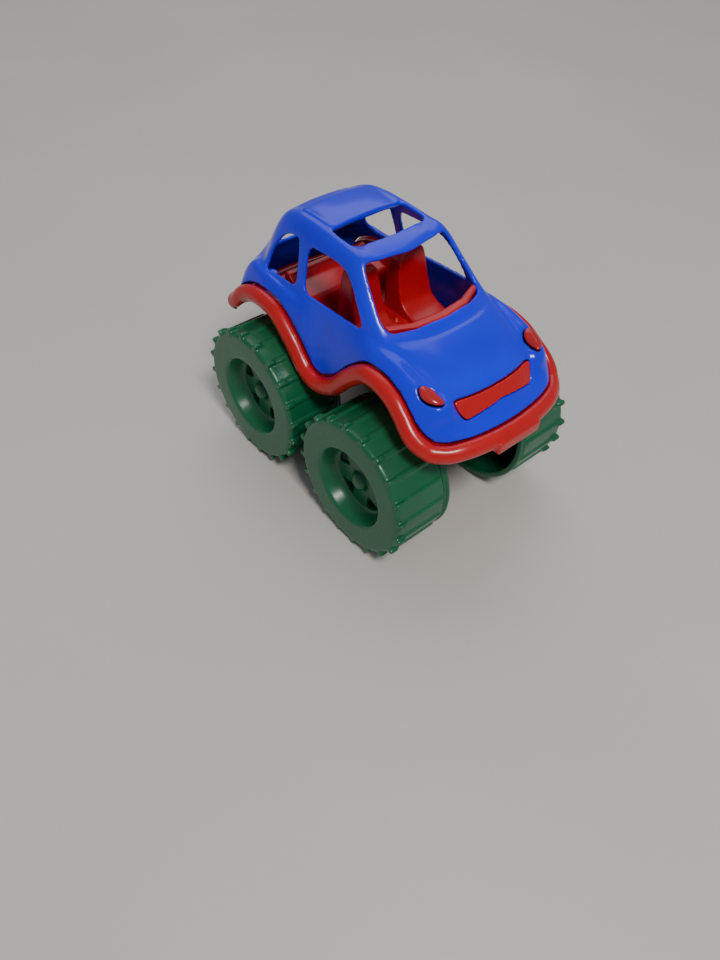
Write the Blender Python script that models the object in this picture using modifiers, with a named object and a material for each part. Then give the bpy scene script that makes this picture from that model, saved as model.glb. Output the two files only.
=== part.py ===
"""Toy beetle car on high wheels: moulded plastic body, tub, seats, wheels and friction motor.

The car faces -Y, +X is its left side and +Z is up. The origin is on the ground under its middle.
"""
import math

import bmesh
import bpy
from mathutils import Matrix, Vector
from mathutils.bvhtree import BVHTree

MM = 0.001
GAP = 0.3 * MM
MERGE = 0.00001

# Wheels and axles
WHEEL_R = 30.0 * MM
WHEEL_W = 26.0 * MM
WHEEL_OUT_X = 45.9 * MM
AXLE_Y = 32.0 * MM
AXLE_Z = WHEEL_R
AXLE_R = 1.5 * MM
BAR_COUNT = 20
HUB_HOLES = 5
TURN_STEPS = 20
ROUND_STEPS = 16
SMALL_STEPS = 12

# Body shell
SHELL_T = 1.6 * MM
FLOOR_Z = 63.0 * MM
FLOOR_T = 1.6 * MM

# Carrier box under the floor
BOX_HALF_W = 16.0 * MM
BOX_T = 2.0 * MM
FRONT_CARRIER = ((-40.0, 62.2), (-40.0, 25.0), (-24.0, 25.0), (-24.0, 62.2))
FRONT_HOLLOW = ((-38.0, 60.2), (-38.0, 10.0), (-26.0, 10.0), (-26.0, 60.2))
REAR_CARRIER = ((15.6, 62.2), (15.6, 28.0), (23.5, 19.0), (46.0, 19.0), (46.0, 62.2))
REAR_HOLLOW = ((17.6, 60.2), (17.6, 28.8), (26.2, 19.0), (26.2, 10.0), (44.0, 10.0), (44.0, 60.2))

# Friction motor
GEAR_MODULE = 0.8 * MM
BIG_TEETH = 18
SMALL_TEETH = 8
GEAR_PLAY = 0.25 * MM
GEAR_CENTRES = GEAR_MODULE * (BIG_TEETH + SMALL_TEETH) / 2 + GEAR_PLAY

# Finishes: base colour, roughness, metallic
FINISHES = {
    "blue_plastic": ((0.005, 0.045, 0.62), 0.25, 0.0),
    "red_plastic": ((0.45, 0.012, 0.014), 0.28, 0.0),
    "green_plastic": ((0.006, 0.14, 0.055), 0.32, 0.0),
    "grey_plastic": ((0.32, 0.33, 0.34), 0.45, 0.0),
    "steel": ((0.62, 0.62, 0.63), 0.3, 1.0),
    "brass": ((0.55, 0.38, 0.12), 0.35, 1.0),
}

# Body surface: rows run from the nose to the tail, and each row runs from the centre line out to
# the lower edge, as (x, y, z) in millimetres: centre, top, rail, belt, crest, edge.
BODY_ROWS = (
    ((0, -65, 66), (10, -64.4, 66), (17, -63.3, 66),
     (22, -61.9, 65.8), (26.5, -59.7, 65.2), (29.8, -57, 65.2)),
    ((0, -60.5, 69.3), (9, -60, 69.2), (17.5, -57.9, 68.8),
     (22, -58, 69.5), (27, -56.5, 69.8), (32, -53.5, 67.6)),
    ((0, -55, 75.8), (10, -54.3, 75.6), (18.7, -52.9, 75),
     (22, -54.2, 75.6), (27, -53.5, 75.6), (32.9, -50, 70.3)),
    ((0, -49, 79), (11, -48.5, 78.7), (19, -47.6, 77.8),
     (22.5, -48.3, 77.2), (27.8, -47.5, 78.3), (32.6, -45.5, 73.5)),
    ((0, -40, 82.3), (12, -40, 82), (20, -39.7, 81),
     (23.3, -39.7, 79.8), (28.4, -39.5, 80.4), (32, -39.8, 76.7)),
    ((0, -33.5, 84.4), (12.5, -33, 84.2), (21, -32, 83.4),
     (24.4, -31, 82.4), (28.3, -31, 82.2), (31.4, -31, 78.6)),
    ((0, -30.5, 85.3), (13, -28.8, 85.3), (24, -22.5, 85.6),
     (26.7, -21.5, 83.6), (29.2, -21, 81.4), (31.4, -20.8, 77.1)),
    ((0, -18.5, 95), (12, -17, 94.6), (23.8, -11.5, 93.6),
     (27.2, -12, 84.2), (29.8, -12, 77.5), (31.9, -12, 69.5)),
    ((0, -6, 103.7), (12, -4.8, 103.2), (21.8, -2.5, 101.8),
     (27.4, -3, 83.6), (30.2, -3, 72), (32.3, -4, 60)),
    ((0, 5, 105), (13, 5, 104.4), (21.3, 6, 102.4),
     (27.3, 6, 82.8), (30.2, 6, 69.8), (32.5, 5.5, 56.7)),
    ((0, 18, 105.4), (13, 18, 104.8), (21, 18, 102.5),
     (27, 18, 81.8), (29.9, 18, 75), (32.1, 17.2, 66.2)),
    ((0, 28, 105.2), (13, 28, 104.6), (20.8, 28, 102.1),
     (26.8, 28, 80.9), (29.6, 28, 77.2), (31.6, 28, 72.8)),
    ((0, 37, 103.8), (12.5, 37, 103.2), (20.3, 37, 100.6),
     (26.4, 37, 80.3), (29.2, 37, 78), (31.3, 38, 73.8)),
    ((0, 46.5, 99.4), (12, 46, 98.5), (19.5, 44.5, 96.2),
     (26, 45, 80.6), (29, 46.5, 77.5), (31, 47.5, 71.8)),
    ((0, 55.5, 88), (11.5, 54.5, 87), (18.2, 52.3, 85),
     (22.8, 52, 78.6), (27.6, 53.4, 76.3), (31.2, 55, 67.4)),
    ((0, 60.4, 79.2), (11, 59.8, 78.6), (17.5, 58.3, 76.8),
     (22.6, 58.3, 73.8), (27, 58.5, 70.4), (30.6, 58.6, 62.5)),
    ((0, 64.5, 70), (10, 64, 69.8), (17, 63, 69.2),
     (22, 62, 67.8), (26.3, 61, 65), (29.3, 60.2, 60.2)),
    ((0, 65.6, 59.6), (10, 65.1, 59.5), (16.5, 64.5, 59.3),
     (21.5, 63.9, 59.1), (25.4, 63.1, 58.9), (28.1, 62, 58.7)),
)
ROW_STEPS = 2
ACROSS_STEPS = 2
TUB_ACROSS_STEPS = 1

# Outlines of the openings, in millimetres
DOOR_WINDOW = (
    (-13.5, 84.0), (-10.7, 88.2), (-4.1, 95.6), (1.0, 98.9),
    (8.9, 99.2), (22.0, 97.6), (22.8, 93.0), (20.5, 80.8),
)
QUARTER_WINDOW = (
    (25.0, 80.3), (27.3, 93.0), (28.6, 97.8), (32.5, 97.2),
    (38.0, 95.0), (42.0, 90.0), (45.0, 83.5), (44.5, 78.8),
)
WINDSHIELD = (
    (-23.3, -18.5), (-21.6, -11.5), (-19.8, -3.8), (0, -7.4), (19.8, -3.8), (21.6, -11.5),
    (23.3, -18.5), (22.4, -23.0), (13.5, -26.8), (0, -28.2), (-13.5, -26.8), (-22.4, -23.0),
)
SUNROOF = ((-17.2, 17.6), (-17.4, 4.0), (0, 2.0), (17.4, 4.0), (17.2, 17.6), (0, 17.0))
REAR_WINDOW = (
    (-15.0, 60.0), (-16.6, 51.0), (-14.2, 43.0), (0, 42.0),
    (14.2, 43.0), (16.6, 51.0), (15.0, 60.0), (0, 61.4),
)
GRILLE = (
    (-19.5, 75.1), (-18.6, 71.4), (-16.8, 68.6), (-8.5, 70.2), (0, 71.0),
    (8.5, 70.2), (16.8, 68.6), (18.6, 71.4), (19.5, 75.1), (0, 75.7),
)
LAMP = (
    (23.6, -54.0), (22.5, -50.5), (22.7, -46.6), (24.8, -43.8),
    (28.2, -43.5), (29.7, -46.5), (28.9, -50.0), (27.0, -52.8),
)

# Corner radii of the openings, and the coordinates between which each of them is cut
WINDOW_CORNER = 4.0 * MM
ROOF_CORNER = 3.0 * MM
LAMP_CORNER = 2.0 * MM
LAMP_PLUG_CORNER = 1.8 * MM
GRILLE_CORNER = 1.0 * MM
CORNER_SHARE = 0.45
SIDE_CUT = (-50.0 * MM, 50.0 * MM)
SCREEN_CUT = (70.0 * MM, 120.0 * MM)
ROOF_CUT = (90.0 * MM, 120.0 * MM)
LAMP_CUT = (65.0 * MM, 90.0 * MM)
NOSE_CUT = (-80.0 * MM, -45.0 * MM)

# Tub, in millimetres unless a constant says otherwise
FLOOR_TOP = FLOOR_Z / MM
RIM_DROP = 2.5
TUB_Y = (-59, -54, -48, -40, -32, -22, -12, -4, 6, 18, 28, 37, 45, 49, 53.5, 56.5)
TUB_FLAT_X = (0, 9, 17, 24.5)
LIP_WIDTH = 2.7
BAND_SECTION = (
    (-1.1, 2.3), (0.6, 0.5), (1.8, 0.6), (4.0, 1.9), (4.7, 4.2),
    (3.6, 6.7), (1.6, 7.8), (2.4, 4.6), (0.8, 3.5), (-1.1, 3.8),
)
FRONT_BULGE = 1.05
BUMPER_BLOCK = ((-10.6, -70.3), (10.6, -70.3), (10.6, -64.0), (-10.6, -64.0))
BUMPER_BLOCK_Z = (57.6 * MM, 62.6 * MM)

# Screws and their posts
SCREW_PLACES = (
    (-12.0 * MM, -46.0 * MM), (12.0 * MM, -46.0 * MM),
    (-20.5 * MM, 49.8 * MM), (20.5 * MM, 49.8 * MM),
)
SCREW_R = 1.1 * MM
SCREW_HEAD_R = 2.6 * MM
SCREW_LENGTH = 10.0 * MM
BOSS_R = 2.8 * MM
BOSS_BITE = SHELL_T * 2 / 3

# Wheel profile: radius and height above the wheel's middle, in millimetres
WHEEL_PROFILE = (
    (0, 9.2), (2.6, 8.7), (3.8, 7.4), (4.0, 6.0), (13.4, 6.0), (15.2, 8.0), (16.8, 12.2), (18.0, 13.0),
    (26.8, 13.0), (28.3, 11.6), (28.4, -10.0), (27.6, -10.6), (27.6, -11.6), (28.8, -12.0),
    (28.8, -13.0),
    (26.4, -13.0), (26.4, 11.2), (18.6, 11.2), (15.6, 5.2), (5.0, 4.2), (5.0, -13.0),
    (1.8, -13.0), (1.8, 6.4), (0, 6.4),
)
BAR_OUTLINE = ((27.4, -9.4), (29.1, -9.4), (29.1, 8.8), (30.0, 9.8), (30.0, 12.9), (27.0, 12.9))
BAR_WIDTH = 1.9 * MM
HUB_HOLE = ((7.4, 0), (12.8, -4.2), (13.3, 0), (12.8, 4.2))
HUB_HOLE_CORNER = 1.5 * MM
HUB_HOLE_CUT = (0.0, 10.0 * MM)
AXLE_HALF = 39.0 * MM

# Motor layout
FIRST_ANGLE = 112.0
SECOND_ANGLE = 60.0
FIRST_X = (-8.0 * MM, -3.0 * MM)
SECOND_X = (-2.4 * MM, 2.2 * MM)
FLYWHEEL_X = (3.4 * MM, 8.6 * MM)
FLYWHEEL_R = 8.0 * MM
PIN_R = 1.0 * MM
SHAFT_HALF = 10.3 * MM
TOOTH_SHAPE = ((-0.30, -1.0), (-0.13, 0.7), (0.13, 0.7), (0.30, -1.0))
HOUSING_HALF = 10.5 * MM
HOUSING_T = 1.2 * MM
HOUSING_CORNER = 3.0 * MM
HOLLOW_CORNER = 2.0 * MM
HOUSING_OUTER = (
    (43.6, 20.8), (43.6, 53.0), (38.5, 59.0), (26.0, 59.0), (18.0, 50.0), (18.0, 29.6), (25.4, 20.8),
)
HOUSING_INNER = (
    (42.4, 21.9), (42.4, 52.5), (38.0, 57.9), (26.6, 57.9), (19.1, 49.5), (19.1, 30.1), (26.0, 21.9),
)

# Cabin insert and nose insert
INSERT_T = 1.2 * MM
SEAT_CORNER = 1.5 * MM
INSERT_BASE = ((-20, -25), (20, -25), (20, 42), (-20, 42))
SEAT_X = (3.2 * MM, 20.5 * MM)
SEAT_PROFILE = ((-13, 63.8), (-13, 72.0), (-1.0, 73.0), (4.0, 94.5), (9.0, 94.5), (8.0, 63.8))
BENCH_HALF = 20.0 * MM
BENCH_PROFILE = ((24, 63.8), (24, 73.0), (36, 74.0), (38.5, 80.0), (41.5, 80.0), (41.5, 63.8))
CONSOLE_HALF = 2.6 * MM
CONSOLE_PROFILE = (
    (-18.5, 63.8), (-18.5, 69.0), (-4.0, 70.0), (-3.5, 73.5),
    (-1.0, 73.5), (-0.5, 70.0), (12.0, 69.0), (12.0, 63.8),
)
DASH_OUTLINE = (
    (-19.0, -22.6), (-12.0, -25.7), (0, -27.1), (12.0, -25.7), (19.0, -22.6),
    (19.0, -20.6), (12.0, -23.6), (0, -25.0), (-12.0, -23.6), (-19.0, -20.6),
)
DASH_TOP = 84.6 * MM
NOSE_GRID_ROWS = (2, 9)
NOSE_MARGIN = 2
PLUG_PROUD = 0.1 * MM
PLUG_CLEAR = 0.4
PLATE_GAP = 1.2 * MM


def reset_scene():
    """Start from an empty file, whatever it held."""
    for item in list(bpy.data.objects):
        bpy.data.objects.remove(item, do_unlink=True)


def new_collection(name):
    """Add a collection to the scene."""
    group = bpy.data.collections.new(name)
    bpy.context.scene.collection.children.link(group)
    return group


def make_material(name):
    """Plain Principled material for one finish."""
    colour, roughness, metallic = FINISHES[name]
    material = bpy.data.materials.new(name)
    material.use_nodes = True
    shader = material.node_tree.nodes["Principled BSDF"]
    shader.inputs["Base Color"].default_value = (*colour, 1.0)
    shader.inputs["Roughness"].default_value = roughness
    shader.inputs["Metallic"].default_value = metallic
    return material


def add_part(name, mesh, material, location=(0, 0, 0), rotation=(0, 0, 0)):
    """Add one sub-part to the car's collection."""
    part = bpy.data.objects.new(name, mesh)
    part.location = location
    part.rotation_euler = rotation
    if not mesh.materials:
        mesh.materials.append(material)
    PARTS.objects.link(part)
    return part


def add_cutter(name, mesh):
    """Add a shape that is only cut with or joined on."""
    cutter = bpy.data.objects.new(name, mesh)
    cutter.hide_render = True
    cutter.display_type = "WIRE"
    CUTTERS.objects.link(cutter)
    return cutter


def boolean(target, tool, operation):
    """Cut, join or intersect target with tool."""
    modifier = target.modifiers.new(tool.name, "BOOLEAN")
    modifier.operation = operation
    modifier.solver = "EXACT"
    modifier.object = tool
    return modifier


def finished_mesh(item, name):
    """Mesh of an object with its modifiers applied, in world space; the object goes away."""
    bpy.context.view_layer.update()
    graph = bpy.context.evaluated_depsgraph_get()
    mesh = bpy.data.meshes.new_from_object(item.evaluated_get(graph))
    mesh.transform(item.matrix_world)
    mesh.name = name
    bpy.data.objects.remove(item, do_unlink=True)
    return mesh


def weld(mesh):
    """Close the seams between a curve's caps and its sides."""
    work = bmesh.new()
    work.from_mesh(mesh)
    bmesh.ops.remove_doubles(work, verts=work.verts, dist=MERGE)
    bmesh.ops.recalc_face_normals(work, faces=work.faces)
    work.to_mesh(mesh)
    work.free()
    return mesh


def smooth(mesh, angle=40.0):
    """Shade round pieces smooth and keep their real edges."""
    mesh.shade_smooth()
    mesh.set_sharp_from_angle(angle=math.radians(angle))
    return mesh


def in_mm(points):
    """Scale a list of millimetre points to metres."""
    return [tuple(value * MM for value in point) for point in points]


def rounded(points, radius, steps=2):
    """Closed outline with its corners replaced by arcs of about this radius."""
    outline = []
    count = len(points)
    for index in range(count):
        corner = Vector(points[index])
        before = Vector(points[index - 1]) - corner
        after = Vector(points[(index + 1) % count]) - corner
        reach = min(radius, before.length * CORNER_SHARE, after.length * CORNER_SHARE)
        start = corner + before.normalized() * reach
        end = corner + after.normalized() * reach
        for step in range(steps + 1):
            t = step / steps
            outline.append(tuple(start * (1 - t) ** 2 + corner * 2 * t * (1 - t) + end * t ** 2))
    return outline


AXIS_TURNS = {
    "X": Matrix(((0, 0, 1), (1, 0, 0), (0, 1, 0))).to_4x4(),
    "Y": Matrix(((1, 0, 0), (0, 0, -1), (0, 1, 0))).to_4x4(),
    "Z": Matrix.Identity(4),
}


def prism(name, outline, axis, low, high):
    """Mesh of a flat outline extruded along a world axis between two coordinates."""
    curve = bpy.data.curves.new(name, "CURVE")
    curve.dimensions = "2D"
    curve.fill_mode = "BOTH"
    curve.extrude = (high - low) / 2
    spline = curve.splines.new("POLY")
    spline.points.add(len(outline) - 1)
    for point, (u, v) in zip(spline.points, outline):
        point.co = (u, v, 0, 1)
    spline.use_cyclic_u = True
    item = bpy.data.objects.new(name, curve)
    middle = (low + high) / 2
    shift = {"X": (middle, 0, 0), "Y": (0, middle, 0), "Z": (0, 0, middle)}[axis]
    item.matrix_world = Matrix.Translation(shift) @ AXIS_TURNS[axis]
    CUTTERS.objects.link(item)
    return weld(finished_mesh(item, name))


def cylinder(name, radius, start, end, steps=ROUND_STEPS):
    """Mesh of a closed cylinder between two points."""
    start = Vector(start)
    end = Vector(end)
    work = bmesh.new()
    bmesh.ops.create_cone(work, cap_ends=True, segments=steps, radius1=radius, radius2=radius,
                          depth=(end - start).length)
    turn = (end - start).to_track_quat("Z", "Y").to_matrix().to_4x4()
    bmesh.ops.transform(work, matrix=Matrix.Translation((start + end) / 2) @ turn, verts=work.verts)
    mesh = bpy.data.meshes.new(name)
    work.to_mesh(mesh)
    work.free()
    return mesh


def turned(name, profile, steps=TURN_STEPS):
    """Mesh of a closed piece turned about Z from a profile of (radius, height) points."""
    mesh = bpy.data.meshes.new(name)
    points = [(radius, 0, height) for radius, height in profile]
    mesh.from_pydata(points, [(n, n + 1) for n in range(len(points) - 1)], [])
    item = bpy.data.objects.new(name, mesh)
    CUTTERS.objects.link(item)
    screw = item.modifiers.new("turn", "SCREW")
    screw.axis = "Z"
    screw.steps = steps
    screw.render_steps = steps
    screw.use_merge_vertices = True
    screw.merge_threshold = MERGE
    return weld(finished_mesh(item, name))


def joined(name, meshes):
    """One mesh holding copies of several meshes."""
    work = bmesh.new()
    for mesh in meshes:
        work.from_mesh(mesh)
    result = bpy.data.meshes.new(name)
    work.to_mesh(result)
    work.free()
    return result


def turned_copy(mesh, matrix):
    """Copy of a mesh moved by a matrix."""
    copy = mesh.copy()
    copy.transform(matrix)
    return copy


def catmull(points, steps):
    """Points of a smooth curve that passes through every given point."""
    vectors = [Vector(point) for point in points]
    first = vectors[0] * 2 - vectors[1]
    last = vectors[-1] * 2 - vectors[-2]
    padded = [first, *vectors, last]
    curve = []
    for index in range(1, len(padded) - 2):
        a, b, c, d = padded[index - 1:index + 3]
        for step in range(steps):
            t = step / steps
            blend = b * 2 + (c - a) * t
            blend += (a * 2 - b * 5 + c * 4 - d) * t ** 2
            blend += (b * 3 - a - c * 3 + d) * t ** 3
            curve.append(blend / 2)
    curve.append(vectors[-1])
    return curve


def body_grid(rows, across_steps, row_steps):
    """Smooth grid through the half rows and their mirror image."""
    fine_rows = []
    for row in rows:
        right = [(-x, y, z) for x, y, z in reversed(row[1:])]
        fine_rows.append(catmull(in_mm(right + list(row)), across_steps))
    columns = [catmull(column, row_steps) for column in zip(*fine_rows)]
    return [list(row) for row in zip(*columns)]


def offset_grid(grid, distance):
    """Grid moved outward along its own normals."""
    moved = []
    last_row = len(grid) - 1
    last_column = len(grid[0]) - 1
    for i, row in enumerate(grid):
        line = []
        for j, point in enumerate(row):
            along = grid[min(i + 1, last_row)][j] - grid[max(i - 1, 0)][j]
            across = row[min(j + 1, last_column)] - row[max(j - 1, 0)]
            line.append(point + across.cross(along).normalized() * distance)
        moved.append(line)
    return moved


def grid_faces(grid):
    """Points of a grid and the faces between them, facing up and out."""
    columns = len(grid[0])
    points = [point for row in grid for point in row]
    faces = []
    for i in range(len(grid) - 1):
        for j in range(columns - 1):
            corner = i * columns + j
            faces.append((corner, corner + 1, corner + columns + 1, corner + columns))
    return points, faces


def grid_mesh(name, grid):
    """Open surface mesh over a grid of points."""
    points, faces = grid_faces(grid)
    mesh = bpy.data.meshes.new(name)
    mesh.from_pydata(points, [], faces)
    return mesh


def solidify(item, thickness):
    """Give an open surface its wall, inward from the modelled side."""
    wall = item.modifiers.new("wall", "SOLIDIFY")
    wall.thickness = thickness
    wall.offset = -1.0
    wall.use_even_offset = True
    return wall


def lowered(row, drop):
    """Row of millimetre points lowered by a distance."""
    return tuple((x, y, z - drop) for x, y, z in row)


def tub_rows():
    """Rows of the tub floor: flat in the middle, then up or down to a lip under the shell."""
    rows = [lowered(BODY_ROWS[0], RIM_DROP)]
    for row, middle_y in zip(BODY_ROWS[1:-1], TUB_Y):
        edge_x, edge_y, edge_z = row[-1]
        flat = tuple((x, middle_y, FLOOR_TOP) for x in TUB_FLAT_X)
        lip = (edge_x - LIP_WIDTH, edge_y, edge_z - RIM_DROP)
        rows.append((*flat, lip, (edge_x, edge_y, edge_z - RIM_DROP)))
    rows.append(lowered(BODY_ROWS[-1], RIM_DROP))
    return rows


def rim_loop(grid):
    """Points round the lower edge of the body, anticlockwise seen from above."""
    front = grid[0][:-1]
    left_side = [row[-1] for row in grid[:-1]]
    back = list(reversed(grid[-1]))[:-1]
    right_side = [row[0] for row in reversed(grid)][:-1]
    return front + left_side + back + right_side


def band_mesh(name, grid):
    """Half-round moulding with a hollow back that follows the lower edge of the body."""
    loop = rim_loop(grid)
    count = len(loop)
    points = []
    for index, point in enumerate(loop):
        tangent = (loop[(index + 1) % count] - loop[index - 1]).normalized()
        outward = tangent.cross(Vector((0, 0, 1))).normalized()
        down = tangent.cross(outward).normalized()
        frontness = max(0.0, -outward.y) ** 2
        bulge = 1 + frontness * (FRONT_BULGE - 1)
        for out, fall in BAND_SECTION:
            points.append(point + outward * out * MM * bulge + down * fall * MM)
    size = len(BAND_SECTION)
    faces = []
    for index in range(count):
        here = index * size
        there = (index + 1) % count * size
        for side in range(size):
            nearby = (side + 1) % size
            faces.append((here + side, here + nearby, there + nearby, there + side))
    mesh = bpy.data.meshes.new(name)
    mesh.from_pydata(points, [], faces)
    return weld(mesh)


def carrier_mesh(outline, hollow_outline):
    """Open box under the floor that carries one axle."""
    inside = BOX_HALF_W - BOX_T
    box = add_cutter("carrier", prism("carrier", in_mm(outline), "X", -BOX_HALF_W, BOX_HALF_W))
    hollow = prism("carrier_hollow", in_mm(hollow_outline), "X", -inside, inside)
    boolean(box, add_cutter("carrier_hollow", hollow), "DIFFERENCE")
    return finished_mesh(box, "carrier")


def make_chassis_tub():
    """Red tub: wave moulding and bumper, floor with wheel arches, and two axle carriers."""
    tub = add_part("chassis_tub", band_mesh("chassis_tub", GRID), RED_PLASTIC)
    floor_grid = body_grid(tub_rows(), TUB_ACROSS_STEPS, ROW_STEPS)
    floor = add_cutter("tub_floor", grid_mesh("tub_floor", floor_grid))
    solidify(floor, FLOOR_T)
    boolean(tub, floor, "UNION")
    for outline, hollow in ((FRONT_CARRIER, FRONT_HOLLOW), (REAR_CARRIER, REAR_HOLLOW)):
        boolean(tub, add_cutter("carrier_box", carrier_mesh(outline, hollow)), "UNION")
    block = prism("bumper_block", in_mm(BUMPER_BLOCK), "Z", *BUMPER_BLOCK_Z)
    boolean(tub, add_cutter("bumper_block", block), "UNION")
    for side_y in (-AXLE_Y, AXLE_Y):
        start = (-BOX_HALF_W * 2, side_y, AXLE_Z)
        end = (BOX_HALF_W * 2, side_y, AXLE_Z)
        hole = cylinder("axle_hole", AXLE_R + 2 * GAP, start, end)
        boolean(tub, add_cutter("axle_hole", hole), "DIFFERENCE")
    for x, y in SCREW_PLACES:
        start = (x, y, FLOOR_Z - SCREW_LENGTH / 2)
        end = (x, y, FLOOR_Z + SCREW_LENGTH / 2)
        hole = cylinder("screw_hole", SCREW_R + GAP, start, end, SMALL_STEPS)
        boolean(tub, add_cutter("screw_hole", hole), "DIFFERENCE")
    smooth(tub.data)
    return tub


def opening(target, name, outline, radius, axis, ends):
    """Cut a rounded opening right through one wall."""
    shape = prism(name, rounded(in_mm(outline), radius), axis, *ends)
    boolean(target, add_cutter(name, shape), "DIFFERENCE")


def mirrored(outline):
    """Outline reflected across the middle of the car."""
    return tuple((-x, y) for x, y in reversed(outline))


def screw_boss(x, y):
    """Round post that hangs from the shell down to the tub floor, with a blind bore."""
    skin = BVHTree.FromPolygons(*grid_faces(GRID))
    bottom = FLOOR_Z + GAP
    mesh = cylinder("post", BOSS_R, (x, y, bottom), (x, y, bottom + SCREW_LENGTH), SMALL_STEPS)
    for vertex in mesh.vertices:
        if vertex.co.z > bottom + GAP:
            hit = skin.ray_cast(vertex.co, Vector((0, 0, 1)))[0]
            vertex.co.z = hit.z - BOSS_BITE
    post = add_cutter("post", mesh)
    bore = cylinder("bore", SCREW_R + GAP, (x, y, 0), (x, y, FLOOR_Z + SCREW_LENGTH), SMALL_STEPS)
    boolean(post, add_cutter("bore", bore), "DIFFERENCE")
    return finished_mesh(post, "boss")


def make_body_shell():
    """Blue beetle body: one thin shell with its windows, sunroof, lamp and grille openings."""
    shell = add_part("body_shell", grid_mesh("body_shell", GRID), BLUE_PLASTIC)
    solidify(shell, SHELL_T)
    for x, y in SCREW_PLACES:
        boolean(shell, add_cutter("boss", screw_boss(x, y)), "UNION")
    opening(shell, "door_windows", DOOR_WINDOW, WINDOW_CORNER, "X", SIDE_CUT)
    opening(shell, "quarter_windows", QUARTER_WINDOW, WINDOW_CORNER, "X", SIDE_CUT)
    opening(shell, "windshield", WINDSHIELD, ROOF_CORNER, "Z", SCREEN_CUT)
    opening(shell, "sunroof", SUNROOF, ROOF_CORNER, "Z", ROOF_CUT)
    opening(shell, "rear_window", REAR_WINDOW, WINDOW_CORNER, "Z", SCREEN_CUT)
    opening(shell, "grille", GRILLE, GRILLE_CORNER, "Y", NOSE_CUT)
    for name, outline in (("lamp_left", LAMP), ("lamp_right", mirrored(LAMP))):
        opening(shell, name, outline, LAMP_CORNER, "Z", LAMP_CUT)
    smooth(shell.data)
    return shell


def make_wheel_mesh():
    """One-piece wheel: thin tyre with twenty bars, dished face, holed hub and axle tube."""
    wheel = add_cutter("wheel", turned("wheel", in_mm(WHEEL_PROFILE)))
    bars = []
    bar = prism("bar", in_mm(BAR_OUTLINE), "Y", -BAR_WIDTH / 2, BAR_WIDTH / 2)
    for index in range(BAR_COUNT):
        angle = math.tau * (index + 0.5) / BAR_COUNT
        bars.append(turned_copy(bar, Matrix.Rotation(angle, 4, "Z")))
    boolean(wheel, add_cutter("bars", joined("bars", bars)), "UNION")
    holes = []
    hole = prism("hole", rounded(in_mm(HUB_HOLE), HUB_HOLE_CORNER), "Z", *HUB_HOLE_CUT)
    for index in range(HUB_HOLES):
        angle = math.tau * index / HUB_HOLES
        holes.append(turned_copy(hole, Matrix.Rotation(angle, 4, "Z")))
    boolean(wheel, add_cutter("holes", joined("holes", holes)), "DIFFERENCE")
    return smooth(finished_mesh(wheel, "wheel"))


def make_wheels():
    """Four wheels on the ends of the axles."""
    mesh = make_wheel_mesh()
    centre_x = WHEEL_OUT_X - WHEEL_W / 2
    for end, y in (("front", -AXLE_Y), ("rear", AXLE_Y)):
        for side, sign in (("left", 1), ("right", -1)):
            turn = (0, sign * math.pi / 2, 0)
            add_part(f"wheel_{end}_{side}", mesh, GREEN_PLASTIC, (sign * centre_x, y, AXLE_Z), turn)


def make_axles():
    """Two plain steel rods pressed into the wheels."""
    for end, y in (("front", -AXLE_Y), ("rear", AXLE_Y)):
        rod = cylinder("rod", AXLE_R, (-AXLE_HALF, 0, 0), (AXLE_HALF, 0, 0), TURN_STEPS)
        add_part(f"axle_{end}", smooth(rod), STEEL_METAL, (0, y, AXLE_Z))


def gear_mesh(name, teeth, bore, low, high, phase):
    """Spur gear between two heights along X, with a tooth centred at phase."""
    pitch_r = GEAR_MODULE * teeth / 2
    tooth = math.tau / teeth
    outline = []
    for index in range(teeth):
        centre = phase + index * tooth
        for share, radius in TOOTH_SHAPE:
            angle = centre + share * tooth
            reach = pitch_r + radius * GEAR_MODULE
            outline.append((reach * math.cos(angle), reach * math.sin(angle)))
    gear = add_cutter(name, prism(name, outline, "X", low, high))
    hole = cylinder("gear_bore", bore, (low - MM, 0, 0), (high + MM, 0, 0))
    boolean(gear, add_cutter("gear_bore", hole), "DIFFERENCE")
    return finished_mesh(gear, name)


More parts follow.
